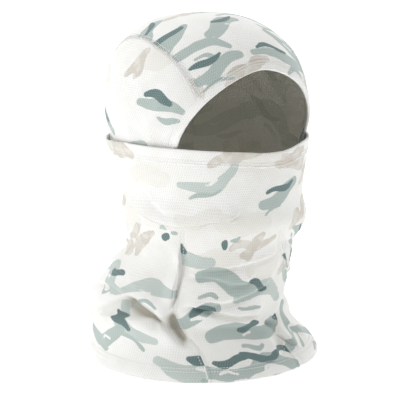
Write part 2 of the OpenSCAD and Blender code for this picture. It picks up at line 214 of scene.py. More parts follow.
# Each fold: its line, how far it stands out, its width above and below, how far it sags, and how
# deep the cloth is tucked in below it. Left of the line's direction is above.
FOLDS = [
    # the mask's cloth, tucked in below the jaw
    ([(-106, 158), (-98, 156), (-84, 149), (-73, 146), (-60, 145), (-50, 146), (-40, 151), (-30, 152),
      (-20, 155)], 5.5, 11, 2.0, 6.0, 3.6),
    ([(20, 122), (50, 128), (88, 131), (120, 134), (160, 136)], 3.0, 9, 5, 3.0, 1.0),
    ([(-150, 131), (-128, 136), (-112, 143)], 2.5, 8, 4, 3.0, 1.0),
    # the cloth beside the seam on the wearer's right
    ([(-48, 60), (-50, 74), (-54, 87), (-58, 101), (-59, 124)], 4.6, 6.5, 1.6, 0.0, 3.5),
    # the skirt's lip, under the valley on the wearer's right, and the bulge over it
    ([(-100, 42), (-86, 46), (-72, 48), (-58, 48), (-51, 45), (-45, 39), (-42, 32), (-39, 25)],
     9.0, 2.6, 17, -3.5, 0.0),
    ([(-79, 71), (-66, 70), (-56, 63), (-49, 52), (-45, 43)], 4.6, 7, 4.0, 0.0, 0.0),
    # the shoulder
    ([(-128, 68), (-97, 76), (-81, 74), (-68, 76), (-58, 74)], 2.6, 6, 3.5, 1.5, 1.5),
    ([(-94, 87), (-83, 82), (-74, 80), (-66, 83)], 1.8, 5, 3.0, 1.0, 1.0),
    ([(-108, 54), (-94, 58), (-84, 67), (-75, 72), (-64, 71)], 2.4, 6, 3.5, 1.0, 1.0),
    ([(-116, 62), (-104, 56), (-96, 52)], 2.0, 5, 4, 1.0, 0.5),
    # rolls that sag across the front
    ([(-54, 103), (-44, 104), (-28, 105), (-12, 108), (2, 111), (14, 114)], 3.0, 10, 3.2, 2.8, 1.6),
    ([(-53, 96), (-42, 96), (-30, 94), (-18, 89), (-8, 89), (-4, 98)], 3.0, 7, 2.8, 2.4, 1.6),
    ([(-32, 75), (-12, 75), (5, 81), (16, 88)], 3.4, 7, 3.2, 2.5, 2.4),
    ([(-43, 68), (-35, 70), (-27, 68), (-8, 60), (15, 56)], 5.0, 8, 3.0, 3.5, 4.0),
    ([(-34, 47), (-16, 52), (4, 48), (14, 42)], 2.2, 8, 4.5, 1.5, 1.0),
    # the strip beside the seam on the wearer's left, and the skirt's pleats below it
    ([(18, 42), (27, 50), (33, 66), (31, 84), (26, 104), (18, 122)], 4.4, 7, 2.2, 0.0, 3.5),
    ([(12, 37), (11, 27), (10, 16), (10, 6)], 3.0, 2.4, 10, 0.0, 0.0),
    ([(18, 38), (22, 31), (27, 22), (31, 11)], 5.0, 8, 2.0, 0.0, 4.0),
    ([(30, 40), (40, 30), (50, 14)], 3.0, 6, 3.0, 0.0, 1.5),
    ([(40, 56), (58, 44), (80, 36)], 4.0, 5, 8, 1.0, 1.0),
    ([(44, 84), (70, 76), (96, 74), (120, 80)], 3.2, 7, 5, 2.0, 1.0),
    # round the back
    ([(104, 60), (140, 48), (180, 44), (216, 50), (246, 62)], 4.0, 6, 10, 1.5, 0.0),
    ([(120, 92), (150, 82), (180, 79), (212, 83), (238, 92)], 3.0, 7, 5, 2.0, 1.5),
    ([(130, 30), (164, 22), (200, 24), (228, 34)], 2.5, 6, 9, 0.5, 0.0),
    ([(-170, 112), (-140, 106), (-116, 108)], 2.0, 6, 4, 1.0, 0.5),
    # soft creases of the mask over the cheek and the nose
    ([(-82, 172), (-77, 161), (-68, 156), (-56, 158)], 2.0, 7, 2.2, 1.5, 1.2),
    ([(-104, 176), (-90, 170), (-84, 172)], 1.4, 4, 3, 0.5, 0.5),
    ([(52, 150), (72, 160), (96, 158)], 1.5, 6, 4, 0.5, 0.5),
]
# Each pocket: its line, its depth and its half width.
POCKETS = [
    ([(-48, 62), (-45, 52), (-42, 44), (-39, 36), (-40, 28)], 10.0, 4.6),
    ([(-80, 66), (-66, 57), (-56, 51), (-47, 43)], 9.0, 4.6),
    ([(14, 42), (20, 38), (24, 33)], 8.0, 2.8),
    ([(14, 30), (17, 20), (20, 9)], 2.6, 5.0),
]
# How far the cloth may be pushed in at each height before it meets the hood inside.
ROOM = np.array([[0, 13], [74, 13], [88, 1.5], [117, 1.5], [133, 4], [144, 4], [156, 1.6], [212, 1.6]], float)
TUCK_AT = 1.7  # where a tuck is deepest, in widths of the fold below it


def eased_ends(way, length, ramp=16.0):
    s = np.clip(np.minimum(way, length - way) / ramp, 0, 1)
    return s * s * (3 - 2 * s)


def ripples(phi, z, seed, count, reach, tall):
    """A sum of slow waves over the cloth, the same each run, and closed round the tube."""
    rng = random.Random(seed)
    total = np.zeros(np.broadcast(phi, z).shape)
    for _ in range(count):
        turns = rng.randint(*reach)
        rise = rng.uniform(*tall) * rng.choice((-1, 1))
        total = total + np.sin(np.radians(phi) * turns + z * rise + rng.uniform(0, 6.3))
    return total / count


def seam_dip(phi, z):
    """The two neck seams draw the cloth in beside a narrow raised ridge."""
    total = 0
    for seam in (SEAM_RIGHT, SEAM_LEFT):
        d = wrapped(phi - table(seam, z)) * ARC
        fade = np.clip((JAW_Z + 4 - z) / 10, 0, 1)
        total = total + fade * (1.7 * np.exp(-(d / 1.5) ** 2) - 1.6 * np.exp(-(d / 6) ** 2))
    return total


def hang(phi, z):
    """How far the cloth stands out and how far it sags at each place on the tube."""
    phi, z = np.broadcast_arrays(np.asarray(phi, float), np.asarray(z, float))
    out, drop = np.zeros(phi.shape), np.zeros(phi.shape)
    for line, height, above, below, sag, tuck in FOLDS:
        d, side, way, length = line_field(phi, z, line)
        ends = eased_ends(way, length)
        bump = np.exp(-(d / np.where(side > 0, above, below)) ** 2) * ends
        under = np.where(side > 0, 0, np.exp(-(d / below - TUCK_AT) ** 2)) * ends
        out, drop = out + height * bump - tuck * under, drop + sag * bump
    for line, depth, w in POCKETS:
        d, side, way, length = line_field(phi, z, line)
        out = out - depth * np.exp(-(d / w) ** 2) * eased_ends(way, length, 10)
    loose = np.clip((110 - z) / 40, 0, 1) * np.clip(z / 14, 0.25, 1)
    out = out + 1.5 * loose * ripples(phi, z, 5, 9, (2, 7), (0.08, 0.26))
    out = out + 0.5 * ripples(phi, z, 8, 7, (3, 9), (0.05, 0.2)) + seam_dip(phi, z)
    room = table(ROOM, z)
    return np.where(out < 0, -room * np.tanh(-out / room), out), drop * np.clip(z / 6, 0, 1)


def draped(phi, z, t=0.0):
    """Point of the tube's cloth as it hangs, t outside its outer face."""
    out, drop = hang(phi, z)
    return tube(phi, z - drop, t + out)


# ---------------------------------------------------------------- print
# A generic snow camouflage: bands with dark strokes beside them, blotches, spots and washes. Each
# mark is [tone, (across, up, radius), ...] along a line. On the tube and the sides of the hood
# across is an angle and up a height; on the crown up is an angle and across a distance.
TRIES = 12  # random places tried for each group of marks
CROWN_ARC = 1.7  # millimetres along the crown to a degree


def stroke(rng, tone, at, scale, run, radius, lean):
    """A wavy line, thinner at its ends, leaning by an angle from straight across."""
    phase, swing = rng.uniform(0, 2 * math.pi), rng.uniform(0.05, 0.16) * run
    mark = [tone]
    for k in range(5):
        s = k / 4 - 0.5
        along, aside = run * s, swing * math.sin(phase + 5 * s)
        across = along * math.cos(lean) - aside * math.sin(lean)
        up = along * math.sin(lean) + aside * math.cos(lean)
        width = radius * (1 - 1.7 * s * s) * rng.uniform(0.8, 1.2)
        mark.append((at[0] + across / scale[0], at[1] + up / scale[1], width))
    return mark


def group(rng, kind, at, scale):
    """The few marks that lie together at one place."""
    lean = rng.gauss(0, 0.35)

    def beside(tone, across, up, run, radius, turn=0.0):
        place = (at[0] + across / scale[0], at[1] + up / scale[1])
        return stroke(rng, tone, place, scale, rng.uniform(*run), rng.uniform(*radius), lean + turn)

    if kind == "band":
        marks = [beside(rng.choice(("mid", "mid", "pale")), 0, 0, (34, 68), (5, 9))]
        marks.append(beside("mid", rng.uniform(-14, 14), -12, (16, 32), (1.4, 2.8)))
        if rng.random() < 0.7:
            marks.append(beside("dark", rng.uniform(-12, 12), rng.uniform(4, 9), (18, 40), (2.6, 4.4)))
        if rng.random() < 0.5:
            marks.append(beside("bare", rng.uniform(-8, 8), -1, (9, 16), (1.2, 2)))
        return marks
    if kind == "blotch":
        side = rng.uniform(9, 12)
        return [beside("sand", k * side, rng.uniform(-5, 5), (16, 32), (4.2, 7), rng.uniform(0, 1))
                for k in (-1, 0, 1)[:rng.randint(2, 3)]]
    if kind == "spot":
        return [beside("dark", 0, 0, (5, 9), (3.2, 4.4), 1.2), beside("mid", 9, 5, (5, 12), (1.6, 2.6))]
    return [beside("buff", 0, 0, (24, 46), (8, 14))]


def camo(seed, count, across, up, kinds, scale):
    """Groups of marks over a region, each at the emptiest of a few random places."""
    rng = random.Random(seed)
    found, marks = [], []
    for _ in range(count):
        tries = [(rng.uniform(*across), rng.uniform(*up)) for _ in range(TRIES)]
        room = [min([math.hypot((x - a) * scale[0], (y - b) * scale[1]) for a, b in found] or [0])
                for x, y in tries]
        found.append(tries[room.index(max(room))])
        marks += group(rng, rng.choice(kinds), found[-1], scale)
    return marks


BUSY = ("band",) * 7 + ("blotch",)
CALM = ("blotch",) * 4 + ("band", "spot", "wash", "wash")
MIXED = ("band", "band", "band", "blotch", "wash")
ROUND = (ARC, 1.0)
MASK_MARKS = camo(21, 28, (-180, 180), (142, 206), CALM, ROUND)
FRONT_MARKS = camo(22, 8, (-60, 38), (98, 130), CALM, ROUND) + camo(23, 10, (-60, 42), (2, 92), BUSY, ROUND)
BACK_MARKS = camo(24, 16, (20, 300), (100, 130), CALM, ROUND) + camo(25, 22, (18, 330), (2, 92), BUSY, ROUND)
CROWN_MARKS = [[tone] + [(up, across, r) for across, up, r in dots] for tone, *dots in (
    camo(26, 9, (-62, 62), (42, 78), BUSY, (1.0, CROWN_ARC))
    + camo(27, 15, (-60, 60), (88, 212), MIXED, (1.0, CROWN_ARC)))]
RIGHT_MARKS = camo(28, 20, (-176, -44), (112, 298), MIXED, ROUND)
LEFT_MARKS = camo(29, 20, (44, 176), (112, 298), MIXED, ROUND)

FAR = 30.0
TONES = ("dark", "mid", "pale", "sand", "buff")
# How ragged the edge of each tone is.
SHAKE = {"dark": 0.35, "mid": 0.6, "pale": 0.9, "sand": 1.1, "buff": 1.6}


def wobble(p):
    x, y, z = p[..., 0], p[..., 1], p[..., 2]
    slow = np.sin(x * 0.34 + 1.3 * np.sin(z * 0.21)) + np.sin(z * 0.41 + y * 0.17)
    fast = np.sin(x * 0.9 + z * 0.5) * np.sin(y * 0.8 - z * 0.7)
    return 0.42 * slow + 0.35 * fast


def rounded(dots):
    """A line with its corners cut off twice."""
    for _ in range(2):
        a, b = dots[:-1], dots[1:]
        cut = np.stack([0.75 * a + 0.25 * b, 0.25 * a + 0.75 * b], 1).reshape(-1, 3)
        dots = np.vstack([dots[:1], cut, dots[-1:]])
    return dots


def ink(p, marks, place):
    """Distance from each point to the nearest mark of each tone, below zero inside it."""
    shape = p.shape[:-1]
    flat = p.reshape(-1, 3)
    found = {tone: np.full(len(flat), FAR) for tone in TONES + ("bare",)}
    for tone, *dots in marks:
        u, v, r = rounded(np.array(dots, float)).T
        way = place(u, v)
        middle = way.mean(0)
        reach = np.linalg.norm(way - middle, axis=1).max() + r.max() + 8
        near = np.nonzero(np.linalg.norm(flat - middle, axis=1) < reach)[0]
        if not len(near):
            continue
        x = flat[near]
        best = np.full(len(near), FAR)
        for a, b, ra, rb in zip(way[:-1], way[1:], r[:-1], r[1:]):
            d = b - a
            s = np.clip((x - a) @ d / max(1e-9, d @ d), 0, 1)
            best = np.minimum(best, np.linalg.norm(x - a - s[:, None] * d, axis=1) - ra - (rb - ra) * s)
        found[tone][near] = np.minimum(found[tone][near], best)
    shake = wobble(flat)
    hole = found.pop("bare") + shake
    for tone in TONES:
        found[tone] = found[tone] + shake * SHAKE[tone]
        if tone != "dark":
            found[tone] = np.maximum(found[tone], -hole)
        found[tone] = found[tone].reshape(shape)
    return found


# ---------------------------------------------------------------- meshes
def new_object(name, verts, faces, smooth=True):
    mesh = bpy.data.meshes.new(name)
    mesh.from_pydata((np.asarray(verts, float) * MM).tolist(), [], [list(map(int, f)) for f in faces])
    mesh.polygons.foreach_set("use_smooth", [smooth] * len(mesh.polygons))
    mesh.update()
    obj = bpy.data.objects.new(name, mesh)
    bpy.context.scene.collection.objects.link(obj)
    return obj


def put_float(obj, name, values):
    attribute = obj.data.attributes.new(name, "FLOAT", "POINT")
    attribute.data.foreach_set("value", np.asarray(values, np.float32).ravel())


def put_vector(obj, name, values):
    attribute = obj.data.attributes.new(name, "FLOAT_VECTOR", "POINT")
    attribute.data.foreach_set("vector", np.asarray(values, np.float32).ravel())


def grid_faces(rows, cols, wrap):
    i, j = np.meshgrid(np.arange(rows - 1), np.arange(cols if wrap else cols - 1), indexing="ij")
    a, b = i * cols + j, i * cols + (j + 1) % cols
    return np.stack([a, b, b + cols, a + cols], -1).reshape(-1, 4)


def facing(verts, faces):
    """Normals of the vertices, as the sum of the faces round each."""
    n = np.zeros_like(verts)
    a, b, c, d = (verts[faces[:, k]] for k in range(4))
    face = np.cross(c - a, d - b)
    for k in range(4):
        np.add.at(n, faces[:, k], face)
    return n / np.maximum(1e-9, np.linalg.norm(n, axis=1, keepdims=True))


def two_sided(name, grid, wrap, normals=None, marks=None, knit=None, pole=None, painted_shade=None):
    """A cloth solid from a grid of outer points: outer face, lining and cut edges.

    pole closes the last row of a wrapped grid on one middle point.
    """
    rows, cols = grid.shape[:2]
    verts = grid.reshape(-1, 3)
    faces = grid_faces(rows, cols, wrap)
    all_quads = faces
    if pole is not None:
        last = (rows - 1) * cols + np.arange(cols)
        tip = np.full(cols, len(verts))
        fan = np.stack([last, np.roll(last, -1), tip], -1)
        verts = np.vstack([verts, pole])
        all_quads = np.vstack([faces, np.column_stack([fan, tip])])
    n = facing(verts, all_quads)
    outward = verts.copy()
    outward[:, 2] = np.maximum(0, verts[:, 2] - HUB[2])
    flip = np.sum(n * outward) < 0
    n = -n if flip else n
    if normals is not None:
        n = normals.reshape(-1, 3)
    count = len(verts)

    def sides(outer, inner):
        return [(f[:, ::-1] if flip else f).tolist() for f in (outer, inner)]

    lists = sides(faces, faces[:, ::-1] + count)
    if pole is not None:
        lists += sides(fan, fan[:, ::-1] + count)
    edges = [np.arange(cols)]
    if pole is None:
        edges.append((rows - 1) * cols + np.arange(cols)[::-1])
    if wrap:
        edges = [np.append(edge, edge[0]) for edge in edges]
    else:
        edges.append((np.arange(rows) * cols)[::-1])
        edges.append(np.arange(rows) * cols + cols - 1)
    for edge in edges:
        rim = np.stack([edge[1:], edge[:-1], edge[:-1] + count, edge[1:] + count], -1)
        lists.append((rim[:, ::-1] if flip else rim).tolist())
    obj = new_object(name, np.vstack([verts, verts - CLOTH * n]), [f for part in lists for f in part])

    def put(label, values):
        flat = values.reshape(-1)
        if pole is not None:
            flat = np.append(flat, values[-1].mean())
        put_float(obj, label, np.concatenate([flat, flat]))

    for tone in TONES:
        put("ink_" + tone, marks[tone])
    # Painted shade for the folds' valleys and pockets.
    if painted_shade is not None:
        put("painted_shade", painted_shade)
    uv = knit.reshape(-1, 2)
    if pole is not None:
        uv = np.vstack([uv, knit[-1].mean(0)])
    put_vector(obj, "knit", np.vstack([np.column_stack([uv, uv[:, 0] * 0])] * 2))
    put_float(obj, "lining", np.concatenate([np.zeros(count), np.ones(count)]))
    if normals is not None:
        obj.data.normals_split_custom_set_from_vertices(np.vstack([n, -n]).tolist())
    return obj


def fold_band(name, place, section, columns, marks, knit, turned=False):
    """A closed band of cloth: section is a loop of (across, out) points, carried round by place."""
    sec = np.array(section, float)
    grid = np.stack([place(columns, w, t) for w, t in sec], 1)
    n, m = grid.shape[:2]
    i, j = np.meshgrid(np.arange(n), np.arange(m), indexing="ij")
    a, b = i * m + j, i * m + (j + 1) % m
    c, d = (i + 1) % n * m + (j + 1) % m, (i + 1) % n * m + j
    faces = np.stack([a, b, c, d], -1).reshape(-1, 4)
    obj = new_object(name, grid.reshape(-1, 3), faces[:, ::-1] if turned else faces)
    if marks is not None:
        for tone in TONES:
            put_float(obj, "ink_" + tone, marks[tone])
        put_vector(obj, "knit", np.concatenate([knit, knit[..., :1] * 0], -1))
        put_float(obj, "lining", np.zeros((n, m)))
    return obj


def fold_section(w, gap=0.7, layer=0.8, swell=0.35):
    """Loop of a folded hem from its fold edge at 0 to its cut edges at w, face out."""
    n = 12
    across = np.linspace(0, 1, n)
    puff = swell * np.sin(np.pi * np.clip(across / 0.7, 0, 1)) ** 0.8
    back = -2 * layer - gap
    outer = [(w * s + 0.5 * (s == 0), p) for s, p in zip(across, puff)]
    channel = [(w, -layer), (1.2, -layer), (1.2, -layer - gap), (w, -layer - gap)]
    inner = [(w * s, back - 0.6 * p) for s, p in zip(across[::-1], puff[::-1])]
    inner[-1] = (0.5, back)
    return outer + channel + inner + [(0.0, back / 2)]


def stitches(name, centres, along, out, length, radius, lift):
    """Short arched threads, each a tapering round bar that dives into the cloth at both ends."""
    rings, sides = 5, 6
    centres, along, out = (np.asarray(x, float) for x in (centres, along, out))
    along = along / np.linalg.norm(along, axis=1, keepdims=True)
    side = np.cross(along, out)
    side = side / np.linalg.norm(side, axis=1, keepdims=True)
    up = np.cross(side, along)
    length = np.broadcast_to(length, len(centres))[:, None]
    verts = []
    for k in range(rings):
        s = k / (rings - 1) * 2 - 1
        r = radius * (1 - 0.55 * s * s)
        middle = centres + along * length * s / 2 + up * (lift * (1 - 1.6 * s * s))
        for q in range(sides):
            a = 2 * math.pi * q / sides
            verts.append(middle + r * (math.cos(a) * side + math.sin(a) * up))
    verts = np.stack(verts, 1)
    per = rings * sides
    faces = []
    for k in range(rings - 1):
        for q in range(sides):
            a, b = k * sides + q, k * sides + (q + 1) % sides
            faces.append([a, b, b + sides, a + sides])
    caps = [list(range(sides))[::-1], [(rings - 1) * sides + q for q in range(sides)]]
    base = np.arange(len(centres)) * per
    quads = (np.array(faces)[None] + base[:, None, None]).reshape(-1, 4).tolist()
    ends = [(np.array(cap)[None] + base[:, None]).tolist() for cap in caps]
    return new_object(name, verts.reshape(-1, 3), quads + ends[0] + ends[1])


def spaced(path, step, closed=False, shift=0.5):
    """Points at equal steps along a path of (point, outward point) pairs, with their directions."""
    path = np.asarray(path, float)
    if closed:
        path = np.concatenate([path, path[:1]])
    p = path[:, 0]
    run = np.concatenate([[0], np.cumsum(np.linalg.norm(np.diff(p, axis=0), axis=1))])
    count = int(run[-1] / step)
    at = (np.arange(count) + shift) * run[-1] / count

    def pick(q, a):
        return np.stack([np.interp(a, run, q[:, c]) for c in range(3)], -1)

    along = pick(p, np.minimum(at + 0.5, run[-1])) - pick(p, np.maximum(at - 0.5, 0))
    out = pick(path[:, 1], at) - pick(p, at)
    return pick(p, at), along, out


def join(name, parts):
    """One object from several meshes with the same kind of material."""
    verts, faces, base = [], [], 0
    for part in parts:
        co = np.zeros(len(part.data.vertices) * 3)
        part.data.vertices.foreach_get("co", co)
        verts.append(co.reshape(-1, 3) / MM)
        faces += [[base + v for v in f.vertices] for f in part.data.polygons]
        base += len(part.data.vertices)
        bpy.data.objects.remove(part)
    return new_object(name, np.vstack(verts), faces)


# ---------------------------------------------------------------- materials
class Tree:
    """Small helper that adds linked nodes to a material."""

    def __init__(self, name):
        self.material = bpy.data.materials.new(name)
        self.material.use_nodes = True
        self.nodes = self.material.node_tree.nodes
        self.links = self.material.node_tree.links
        self.shader = self.nodes["Principled BSDF"]

    def put(self, socket, value):
        if isinstance(value, bpy.types.NodeSocket):
            self.links.new(value, socket)
        else:
            socket.default_value = value

    def node(self, kind, inputs=(), **settings):
        made = self.nodes.new(kind)
        for key, value in settings.items():
            setattr(made, key, value)
        for key, value in dict(inputs).items():
            self.put(made.inputs[key], value)
        return made

    def math(self, operation, a, b=0.0, c=0.0):
        return self.node("ShaderNodeMath", {0: a, 1: b, 2: c}, operation=operation).outputs[0]

    def mix(self, factor, a, b):
        made = self.node("ShaderNodeMix", data_type="RGBA")
        for key, value in ((0, factor), (6, a), (7, b)):
            self.put(made.inputs[key], value)
        return made.outputs[2]

    def step(self, value, lo, hi):
        made = self.node("ShaderNodeMapRange", {0: value, 1: lo, 2: hi, 3: 0.0, 4: 1.0},
                         interpolation_type="SMOOTHSTEP")
        return made.outputs[0]

    def attribute(self, name, output="Fac"):
        return self.node("ShaderNodeAttribute", attribute_name=name).outputs[output]


SNOW = (0.875, 0.875, 0.86, 1)
SHADE = (0.84, 0.835, 0.81, 1)
BUFF = (0.81, 0.80, 0.755, 1)
SAND = (0.63, 0.595, 0.53, 1)
PALE = (0.55, 0.61, 0.58, 1)
MID = (0.455, 0.525, 0.50, 1)
DARK = (0.11, 0.18, 0.18, 1)
# Painted shade: the cloth's valleys are tinted with CREAM, the deepest with the brown below it; CREAM also
# tints the lining.
CREAM = (0.72, 0.70, 0.61, 1)
PAINTED_VALLEY_SHADOW = (0.38, 0.35, 0.29, 1)
HOLE = (0.54, 0.53, 0.49, 1)
# What an eyelet in each tone of the print looks like, and how much of that shows.
SPECKS = {"buff": (HOLE, 0.25), "sand": ((0.46, 0.42, 0.37, 1), 0.35), "pale": ((0.30, 0.36, 0.35, 1), 0.35),
          "mid": ((0.17, 0.24, 0.24, 1), 0.4), "dark": ((0.45, 0.52, 0.51, 1), 0.35)}


def knit_material(name, pitch=2.2, rise=4.2, depth=0.6):
    """Printed mesh knit: staggered rows of small eyelets, a soft sheen, the snow print and painted shade in
    the folds.
    """
    t = Tree(name)
    where = t.attribute("knit", "Vector")
    split = t.node("ShaderNodeSeparateXYZ", {0: where}).outputs
    slow = t.node("ShaderNodeTexNoise", {"Vector": where, "Scale": 0.05, "Detail": 2.0}).outputs[0]
    patchy = t.node("ShaderNodeTexNoise", {"Vector": where, "Scale": 0.10, "Detail": 1.5}).outputs[0]
    grain = t.node("ShaderNodeTexNoise", {"Vector": where, "Scale": 1.6, "Detail": 2.0}).outputs[0]
    across = t.math("COSINE", t.math("MULTIPLY", split[0], 2 * math.pi / pitch))
    up = t.math("COSINE", t.math("MULTIPLY", split[1], 2 * math.pi / rise))
    eyelet = t.step(t.math("MULTIPLY", across, up), 0.0, 0.85)
    height = t.math("SUBTRACT", t.math("MULTIPLY", grain, 0.4), eyelet)
    colour = t.mix(t.step(slow, 0.35, 0.7), SNOW, SHADE)
    # Painted shade: cream where the cloth sinks into a fold or pocket, brown in the deepest valleys.
    painted_shade = t.attribute("painted_shade")
    colour = t.mix(t.math("MULTIPLY", painted_shade, 0.8), colour, CREAM)
    colour = t.mix(t.math("MULTIPLY", t.math("POWER", painted_shade, 3.0), 0.75), colour, PAINTED_VALLEY_SHADOW)
    colour = t.mix(t.math("MULTIPLY", eyelet, 0.28), colour, HOLE)
    frayed = t.math("MULTIPLY", t.math("SUBTRACT", grain, 0.5), 1.2)
    for tone, ink_colour in (("buff", BUFF), ("sand", SAND), ("pale", PALE), ("mid", MID), ("dark", DARK)):
        inside = t.step(t.math("ADD", t.attribute("ink_" + tone), frayed), 0.4, -0.4)
        if tone == "sand":
            mottle = t.math("ADD", t.math("MULTIPLY", t.step(patchy, 0.42, 0.56), 0.35), 0.6)
            inside = t.math("MULTIPLY", inside, mottle)
        speck, share = SPECKS[tone]
        shade = t.mix(t.math("MULTIPLY", eyelet, share), ink_colour, speck)
        colour = t.mix(inside, colour, shade)
    inner = t.mix(0.72, colour, CREAM)
    colour = t.mix(t.attribute("lining"), colour, inner)
    t.put(t.shader.inputs["Base Color"], colour)
    t.put(t.shader.inputs["Roughness"], t.math("ADD", t.math("MULTIPLY", grain, 0.12), 0.76))
    t.shader.inputs["Sheen Weight"].default_value = 0.15
    t.shader.inputs["Sheen Roughness"].default_value = 0.45
    bump = t.node("ShaderNodeBump", {"Strength": depth, "Distance": 0.0006, "Height": height})
    t.links.new(bump.outputs[0], t.shader.inputs["Normal"])
    return t.material


def thread_material(name, colour):
    t = Tree(name)
    place = t.node("ShaderNodeTexCoord").outputs["Object"]
    twist = t.node("ShaderNodeTexWave", {"Vector": place, "Scale": 900.0, "Distortion": 2.0}).outputs[1]
    fuzz = t.node("ShaderNodeTexNoise", {"Vector": place, "Scale": 1500.0, "Detail": 2.0}).outputs[0]
    pale = tuple(min(1, c * 1.06) for c in colour[:3]) + (1,)
    dull = tuple(c * 0.9 for c in colour[:3]) + (1,)
    t.put(t.shader.inputs["Base Color"], t.mix(t.math("MULTIPLY", twist, fuzz), dull, pale))
    t.shader.inputs["Roughness"].default_value = 0.55
    t.shader.inputs["Sheen Weight"].default_value = 0.3
    bump = t.node("ShaderNodeBump", {"Strength": 0.4, "Distance": 0.0002, "Height": twist})
    t.links.new(bump.outputs[0], t.shader.inputs["Normal"])
    return t.material


knit = knit_material("camo_knit")
hem_knit = knit_material("hem_knit", depth=0.42)
thread = thread_material("sewing_thread", (0.90, 0.90, 0.885, 1))
elastic = thread_material("elastic_tape", (0.62, 0.62, 0.60, 1))


def finish_piece(obj, material, slot, *nodes):
    obj.data.materials.append(material)
    if nodes:
        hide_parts(*nodes)
    return obj


# ---------------------------------------------------------------- neck tube and mask
FRONT_COLS, BACK_COLS = 120, 310


def column_angles(z):
    """Angles of every column at height z: the front panel's, then the back panel's."""
    right, left = table(SEAM_RIGHT, z)[..., None], table(SEAM_LEFT, z)[..., None]
    front = right + (left - right) * np.arange(FRONT_COLS) / FRONT_COLS
    back = left + (right + 360 - left) * np.arange(BACK_COLS) / BACK_COLS
    return np.concatenate([front, back], -1)


def tube_grid(levels):
    """Angles and heights for rows of the tube; levels may differ round it."""
    phi = column_angles(levels)
    return phi, np.broadcast_to(np.asarray(levels, float)[..., None], phi.shape)


def knit_coords(phi, z):
    return np.stack([phi * ARC, z], -1)


neck_z = np.linspace(LOW_HEM, JAW_Z, 108)
neck_phi, neck_h = tube_grid(neck_z)
top_share = np.linspace(0, 1, 50)
jaw_phi = column_angles(np.array(JAW_Z))
mask_phi = np.broadcast_to(jaw_phi, (len(top_share), len(jaw_phi)))
edge_z = table(EDGE, wrapped(jaw_phi))
mask_h = JAW_Z + (edge_z - MASK_HEM - JAW_Z) * top_share[:, None]

tall_phi = np.vstack([neck_phi, mask_phi[1:]])
tall_h = np.vstack([neck_h, mask_h[1:]])
tall = draped(tall_phi, tall_h)
tall_quads = grid_faces(*tall.shape[:2], True)
tall_n = facing(tall.reshape(-1, 3), tall_quads).reshape(tall.shape)
if np.sum(tall_n[..., 0] * tall[..., 0]) < 0:
    tall_n = -tall_n
rows_neck = len(neck_z)
tall_out, tall_drop = hang(tall_phi, tall_h)
flat_base = tube(tall_phi, tall_h - tall_drop)
# How far the cloth sinks below its drape, from 0 to 1, used to paint shade into folds and pockets.
tall_painted_shade = np.clip((0.6 - tall_out) / 7, 0, 1)
tall_knit = knit_coords(tall_phi, tall_h)


def panel(name, rows, cols, marks):
    """A piece of the draped tube, cut from its grid."""
    cut = np.ix_(rows, cols)
    return two_sided(name, tall[cut], False, tall_n[cut], marks=ink(flat_base[cut], marks, tube),
                     knit=tall_knit[cut], painted_shade=tall_painted_shade[cut])


neck_rows, mask_rows = np.arange(rows_neck), np.arange(rows_neck - 1, len(tall))
front_cols = np.arange(FRONT_COLS + 1)
back_cols = np.arange(FRONT_COLS, FRONT_COLS + BACK_COLS + 1) % (FRONT_COLS + BACK_COLS)
neck_front = panel("neck_front_cloth", neck_rows, front_cols, FRONT_MARKS + MASK_MARKS)
neck_back = panel("neck_back_cloth", neck_rows, back_cols, BACK_MARKS + MASK_MARKS)
back_first = np.argsort(wrapped(jaw_phi))
mask_cut = np.ix_(mask_rows, np.append(back_first, back_first[0]))
mask_turn = wrapped(tall_phi[mask_cut])
mask_turn[:, -1] += 360
mask_cloth = two_sided("mask_cloth", tall[mask_cut], False, tall_n[mask_cut],
                       marks=ink(flat_base[mask_cut], MASK_MARKS + FRONT_MARKS, tube),
                       knit=knit_coords(mask_turn, tall_h[mask_cut]), painted_shade=tall_painted_shade[mask_cut])
finish_piece(neck_front, knit, "camo_knit", "neck_front_panel")
finish_piece(neck_back, knit, "camo_knit", "neck_back_panel")
finish_piece(mask_cloth, knit, "camo_knit", "mask_panel")

low_phi = np.sort(wrapped(column_angles(np.array(LOW_HEM))))


def low_place(phi, w, t):
    return draped(phi, w + 0 * phi, t)


def mask_place(phi, w, t):
    return draped(phi, table(EDGE, wrapped(phi)) - w, t)


low_sec = fold_section(LOW_HEM)
low_at = np.stack([tube(low_phi, w + 0 * low_phi) for w, _ in low_sec], 1)
low_front = ink(low_at, FRONT_MARKS, tube)
low_back = ink(low_at, BACK_MARKS, tube)
is_front = ((low_phi >= table(SEAM_RIGHT, LOW_HEM)) & (low_phi <= table(SEAM_LEFT, LOW_HEM)))[:, None]
low_ink = {tone: np.where(is_front, low_front[tone], low_back[tone]) for tone in TONES}
low_knit = np.stack([knit_coords(low_phi, w + 0 * low_phi) for w, _ in low_sec], 1)
bottom_hem = fold_band("bottom_hem_cloth", low_place, low_sec, low_phi, low_ink, low_knit)
finish_piece(bottom_hem, hem_knit, "hem_knit", "bottom_hem")

jaw_phi = np.sort(wrapped(jaw_phi))
edge_z = table(EDGE, jaw_phi)
mask_sec = fold_section(MASK_HEM)
mask_at = np.stack([tube(jaw_phi, edge_z - w) for w, _ in mask_sec], 1)
mask_knit = np.stack([knit_coords(jaw_phi, edge_z - w) for w, _ in mask_sec], 1)
mask_hem_ink = ink(mask_at, MASK_MARKS, tube)
mask_hem = fold_band("mask_hem_cloth", mask_place, mask_sec, jaw_phi, mask_hem_ink, mask_knit, True)
finish_piece(mask_hem, hem_knit, "hem_knit", "mask_hem")

